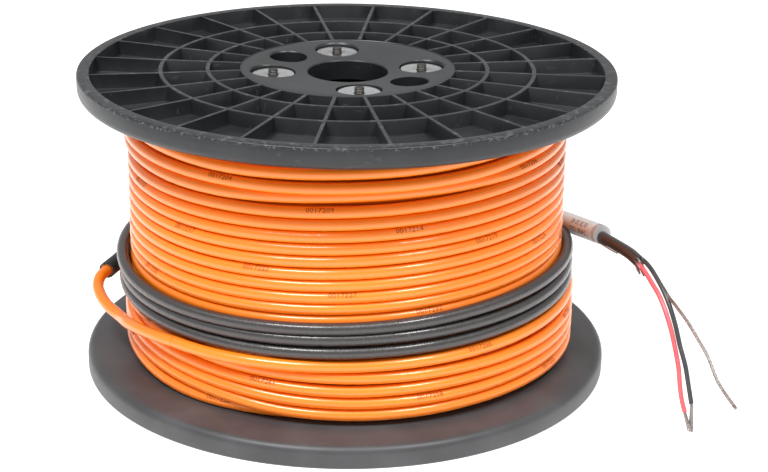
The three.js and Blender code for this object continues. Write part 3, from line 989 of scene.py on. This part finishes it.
def press_pockets(bm):
    """Moves the grid lines beside the ribs to the ribs' faces and extrudes the pockets down."""
    web = [v for v in bm.verts if on_web(v)]
    for v in web:
        offset = sector_offset(v.co)
        if 1 < abs(offset) < 2.5:
            wanted = math.degrees(math.asin(RIB_THICKNESS / 2 / (v.co.xy.length / MM)))
            turn = math.radians(math.copysign(wanted, offset) - offset)
            bmesh.ops.rotate(bm, cent=(0, 0, 0), matrix=Matrix.Rotation(turn, 3, "Z"), verts=[v])
    members = set(web)
    pockets = []
    for face in bm.faces:
        if not all(v in members for v in face.verts):
            continue
        middle = face.calc_center_median()
        radius = middle.xy.length / MM
        on_ring = 65 < radius < 67 or 87 < radius < 89
        if not on_ring and abs(sector_offset(middle)) > 1.9:
            pockets.append(face)
    made = bmesh.ops.extrude_face_region(bm, geom=pockets)["geom"]
    floor_verts = [g for g in made if isinstance(g, bmesh.types.BMVert)]
    bmesh.ops.translate(bm, vec=(0, 0, (POCKET_DEPTH - RIB_LEVEL) * MM), verts=floor_verts)
    bmesh.ops.delete(bm, geom=pockets, context="FACES_ONLY")


def soften(bm, level, offset):
    """Bevels the sharp edges that lie in one plane of the pockets."""
    edges = [
        e for e in bm.edges
        if len(e.link_faces) == 2
        and all(abs(v.co.z / MM - level) < 0.01 and 50.5 < v.co.xy.length / MM < 121.15 for v in e.verts)
        and e.calc_face_angle(0) > 1.0
    ]
    bmesh.ops.bevel(
        bm, geom=edges, offset=offset * MM, offset_type="OFFSET", segments=2, profile=0.5,
        affect="EDGES", material=-1, clamp_overlap=True,
    )


print(RIB_COUNT * 3, "pockets will be pressed into each flange")

# %% [markdown]
# ## Recesses of the hub
# Four recesses take the push-on washers, and two larger holes take a drive pin. A recess is a turned
# cutter with a small flare at its mouth, which leaves a softened edge. All the cutters are joined in
# one mesh, and one Boolean modifier takes them out of the flange.

# %% Cutters
FIXING_CIRCLE = 35.5
RECESS_RADIUS, RECESS_FLOOR, ROD_HOLE, DRIVE_HOLE = 10.7, 3.755, 2.7, 9.0


def flared(radius, surface, depth):
    """The section of a round cutter that flares where it meets the surface."""
    mouth = [(0, -2), (radius + 2.2, -2), (radius + 0.2, surface), (radius, surface + 0.2)]
    return mouth + [(radius, depth), (0, depth)]


def cutters(turn):
    """The four washer recesses with their rod holes, and the two drive holes."""
    whole = bmesh.new()
    at_circle = hub_surface(FIXING_CIRCLE)
    sections = []
    for k in range(4):
        recess = flared(RECESS_RADIUS, at_circle, RECESS_FLOOR)[:-1]
        sections.append((turn + 90 * k, recess + [(ROD_HOLE, RECESS_FLOOR), (ROD_HOLE, 14), (0, 14)]))
    for k in range(2):
        sections.append((turn + 135 + 180 * k, flared(DRIVE_HOLE, at_circle, 14)))
    for angle, section in sections:
        cutter = spun(section, 48, closed=False)
        bmesh.ops.translate(cutter, vec=on_reel(angle, FIXING_CIRCLE, 0), verts=cutter.verts)
        add_to(whole, cutter)
    return whole


def cut_out(piece, cutter_bm):
    """Takes the cutters out of a piece for good and keeps its sharp edges."""
    mesh = bpy.data.meshes.new("cutters")
    cutter_bm.to_mesh(mesh)
    cutter_bm.free()
    tool = linked("cutters", mesh)
    modifier = piece.modifiers.new("recesses", "BOOLEAN")
    modifier.operation, modifier.solver, modifier.object = "DIFFERENCE", "EXACT", tool
    whole = piece.evaluated_get(bpy.context.evaluated_depsgraph_get())
    finished = bpy.data.meshes.new_from_object(whole)
    piece.modifiers.remove(modifier)
    piece.data = finished
    bpy.data.objects.remove(tool)
    finished.shade_smooth()
    finished.set_sharp_from_angle(angle=math.radians(32))


print("each flange gets six recesses")

# %% [markdown]
# ## Both flanges
# The bottom flange stands on its rim, and the top one is the same moulding turned upside down. The
# rods fix how far each is turned. The bottom one has the paler copy of the finish, with the white
# floor's light painted into its colour.

# %% Both flanges
REEL_TURN = 8.6
UPSIDE_DOWN = Matrix.Translation((0, 0, REEL_HEIGHT * MM)) @ Matrix.Rotation(math.pi, 4, "X")


def flange_piece(name, turn, upside_down, finish):
    bm = spun(flange_section, STEPS)
    press_pockets(bm)
    soften(bm, RIB_LEVEL, 0.3)
    soften(bm, POCKET_DEPTH, 0.7)
    bmesh.ops.rotate(bm, cent=(0, 0, 0), matrix=Matrix.Rotation(math.radians(turn), 3, "Z"), verts=bm.verts)
    holes = cutters(turn)
    if upside_down:
        bmesh.ops.transform(bm, matrix=UPSIDE_DOWN, verts=bm.verts)
        bmesh.ops.transform(holes, matrix=UPSIDE_DOWN, verts=holes.verts)
    piece = into_scene(name, bm, finish, 32)
    cut_out(piece, holes)
    print(name, len(piece.data.polygons), "faces")
    return piece


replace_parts(flange_piece("reel_bottom_flange", REEL_TURN, False, painted_floor_light_plastic), "bottom_flange")
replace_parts(flange_piece("reel_top_flange", -REEL_TURN - 90, True, black_plastic), "top_flange")

# %% [markdown]
# ## Barrel
# The barrel is a plain plastic tube between the flanges. It shows only through the holes of the hub.

# %% Barrel
barrel_section = [(47.8, 12.1), (50.8, 12.1), (50.8, 135.3), (47.8, 135.3)]
barrel = into_scene("reel_barrel", spun(barrel_section, 120), black_plastic)
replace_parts(barrel, "barrel")
print("barrel")

# %% [markdown]
# ## Finishes of the fixings
# The washers are zinc plated, with a faint spangle in the plating. The rods are plain steel with a
# film of dark oil.

# %% Finishes of the fixings
zinc = Finish("zinc_steel", Metallic=1.0)
zinc_spangle = zinc.noise(500, 4)
zinc.tone(zinc_spangle, (0.62, 0.62, 0.63), (0.86, 0.87, 0.88))
zinc.set("Roughness", 0.2 + zinc_spangle * 0.22)
zinc.bump(zinc_spangle, 0.00008, 0.5)
rod_steel = Finish("rod_steel", Metallic=1.0)
oil = rod_steel.noise(700, 3)
rod_steel.tone(oil, (0.03, 0.029, 0.028), (0.16, 0.15, 0.14))
rod_steel.set("Roughness", 0.4 + oil * 0.2)
rod_steel.bump(oil, 0.00006, 0.6)
print("zinc and oiled steel")

# %% [markdown]
# ## Tie rods and washers
# Four threaded rods hold the reel together. A pressed, dished washer is pushed onto each end. The
# thread is a zigzag spun upward by one pitch for each turn, so it is a true screw, and its ends are
# cut square by two planes.

# %% Threaded rods
ROD_RADIUS, THREAD_PITCH, ROD_SETBACK = 2.4, 0.8, 0.3


def rod(name, centre):
    bm = bmesh.new()
    thread = []
    for k in range(round(REEL_HEIGHT / THREAD_PITCH) + 3):
        thread += [(ROD_RADIUS - 0.4, (k - 1.5) * THREAD_PITCH), (ROD_RADIUS, (k - 1) * THREAD_PITCH)]
    bmesh.ops.spin(
        bm, geom=chain(bm, thread), axis=(0, 0, 1), cent=(0, 0, 0), angle=2 * math.pi, steps=16,
        dvec=(0, 0, THREAD_PITCH * MM / 16), use_merge=False,
    )
    bmesh.ops.remove_doubles(bm, verts=bm.verts, dist=2e-6)
    for height, way in ((ROD_SETBACK, -1), (REEL_HEIGHT - ROD_SETBACK, 1)):
        everything = list(bm.verts) + list(bm.edges) + list(bm.faces)
        cut = bmesh.ops.bisect_plane(
            bm, geom=everything, plane_co=(0, 0, height * MM), plane_no=(0, 0, way), clear_outer=True
        )
        rim = [g for g in cut["geom_cut"] if isinstance(g, bmesh.types.BMEdge)]
        bmesh.ops.contextual_create(bm, geom=rim)
    bmesh.ops.recalc_face_normals(bm, faces=bm.faces)
    bmesh.ops.translate(bm, vec=centre, verts=bm.verts)
    return into_scene(name, bm, rod_steel, 25)


def washer(name, centre, upside_down):
    """A dished disc with a raised outer rim."""
    section = [
        (2.65, 3.15), (3.3, 3.2), (4.5, 3.3), (6.2, 3.2), (7.6, 2.95), (8.8, 2.62), (9.5, 2.46), (9.85, 2.5),
        (10, 2.7), (9.7, 3.05), (8.8, 3.2), (7.6, 3.5), (6.2, 3.7), (4.5, 3.74), (2.65, 3.7),
    ]
    bm = spun(section, 48)
    if upside_down:
        bmesh.ops.transform(bm, matrix=UPSIDE_DOWN, verts=bm.verts)
    bmesh.ops.translate(bm, vec=centre, verts=bm.verts)
    return into_scene(name, bm, zinc, 30)


for k in range(4):
    centre = on_reel(REEL_TURN + 90 * k, FIXING_CIRCLE, 0)
    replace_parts(rod(f"threaded_rod_{k + 1}", centre), f"tie_rod_{k + 1}")
    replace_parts(washer(f"lower_push_on_washer_{k + 1}", centre, False), f"bottom_washer_{k + 1}")
    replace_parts(washer(f"upper_push_on_washer_{k + 1}", centre, True), f"top_washer_{k + 1}")
print("four rods and eight washers")

# %% [markdown]
# ## Length marks
# The jacket is printed with a running number at even distances. Real marks like these only count
# length, so plain counting digits are drawn. Each is a text, made a mesh, cut into narrow strips
# and laid on the round jacket, a little above its middle where it catches the light.

# %% Printing on a cable
DIGIT_SHARE = 0.7
INK_THICKNESS = 0.00003


def digits_mesh(text, height):
    """Flat digits as a bmesh, centred, with strips narrow enough to bend round a cable."""
    words = bpy.data.curves.new("digits", "FONT")
    words.body, words.size, words.resolution_u = text, height / DIGIT_SHARE, 2
    words.align_x, words.align_y = "CENTER", "CENTER"
    holder = linked("digits", words)
    flat = bpy.data.meshes.new_from_object(holder.evaluated_get(bpy.context.evaluated_depsgraph_get()))
    bpy.data.objects.remove(holder)
    bpy.data.curves.remove(words)
    bm = bmesh.new()
    bm.from_mesh(flat)
    bpy.data.meshes.remove(flat)
    for k in range(-2, 3):
        everything = list(bm.verts) + list(bm.edges) + list(bm.faces)
        bmesh.ops.bisect_plane(bm, geom=everything, plane_co=(0, height * k / 6, 0), plane_no=(0, 1, 0))
    return bm


def laid_on(whole, text, height, route, distance, radius, lift, outward, narrow=1.0):
    """Lays digits on a cable. They read from left to right seen from outside, against the route.
    Outward gives the direction away from the reel, and lift how far round the cable they sit."""
    bm = digits_mesh(text, height)
    for v in bm.verts:
        place, ahead = route.at(distance - v.co.x * narrow)
        out = outward(place)
        out = (out - ahead * out.dot(ahead)).normalized()
        rise = ahead.cross(out)
        rise = rise if rise.z > 0 else -rise
        turn = math.radians(lift) + v.co.y / radius
        v.co = place + (out * math.cos(turn) + rise * math.sin(turn)) * (radius + INK_THICKNESS)
    add_to(whole, bm)


def from_axis(place):
    return Vector((place.x, place.y, 0)).normalized()


def to_the_front(place):
    return Vector((0, -1, 0))


print("digits can be laid on any route")

# %% [markdown]
# ## Marks on the orange cable
# The marks lie a quarter of a metre apart along the cable. One of them shows near the middle of the
# fifth turn, and the spacing carries all the others to their places from there.

# %% Length marks on the orange cable
mark_ink = Finish("length_mark_ink", Roughness=0.5, Specular_IOR_Level=0.25)
mark_ink.tone(mark_ink.noise(1500, 2), (0.17, 0.035, 0.01), (0.45, 0.09, 0.01))

MARK_SPACING = 0.2488
FIRST_MARK_ANGLE = 94.5 + 360 * 4
first_mark = winding_route.marks[round((FIRST_MARK_ANGLE + turn_knots[0][0]) / REEL_STEP)]
marks = bmesh.new()
number = 0
distance = first_mark - MARK_SPACING * int(first_mark / MARK_SPACING) + MARK_SPACING
while distance < winding_route.length - 0.02:
    text = f"{17200 + number:07d}"
    laid_on(marks, text, 0.0023, winding_route, distance, CABLE_DIAMETER * MM / 2, 40, from_axis, 1.07)
    distance += MARK_SPACING
    number += 1
length_marks = into_scene("length_marks", marks, mark_ink)
print(number, "length marks,", len(length_marks.data.polygons), "faces")

# %% [markdown]
# ## Print on the label
# The print on the real label names things that this lesson leaves off, so two rows of plain digits
# stand there, on the side that faces the front.

# %% Digits on the label
label_rows = bmesh.new()
label_route = Route(label_places)
for lift, text in ((62, "10 20 30 40"), (16, "24680 1357")):
    laid_on(label_rows, text, 0.0026, label_route, 0.023, LABEL_DIAMETER * MM / 2, lift, to_the_front, 0.9)
label_digits = into_scene("label_digits", label_rows, ink)
print("label digits")
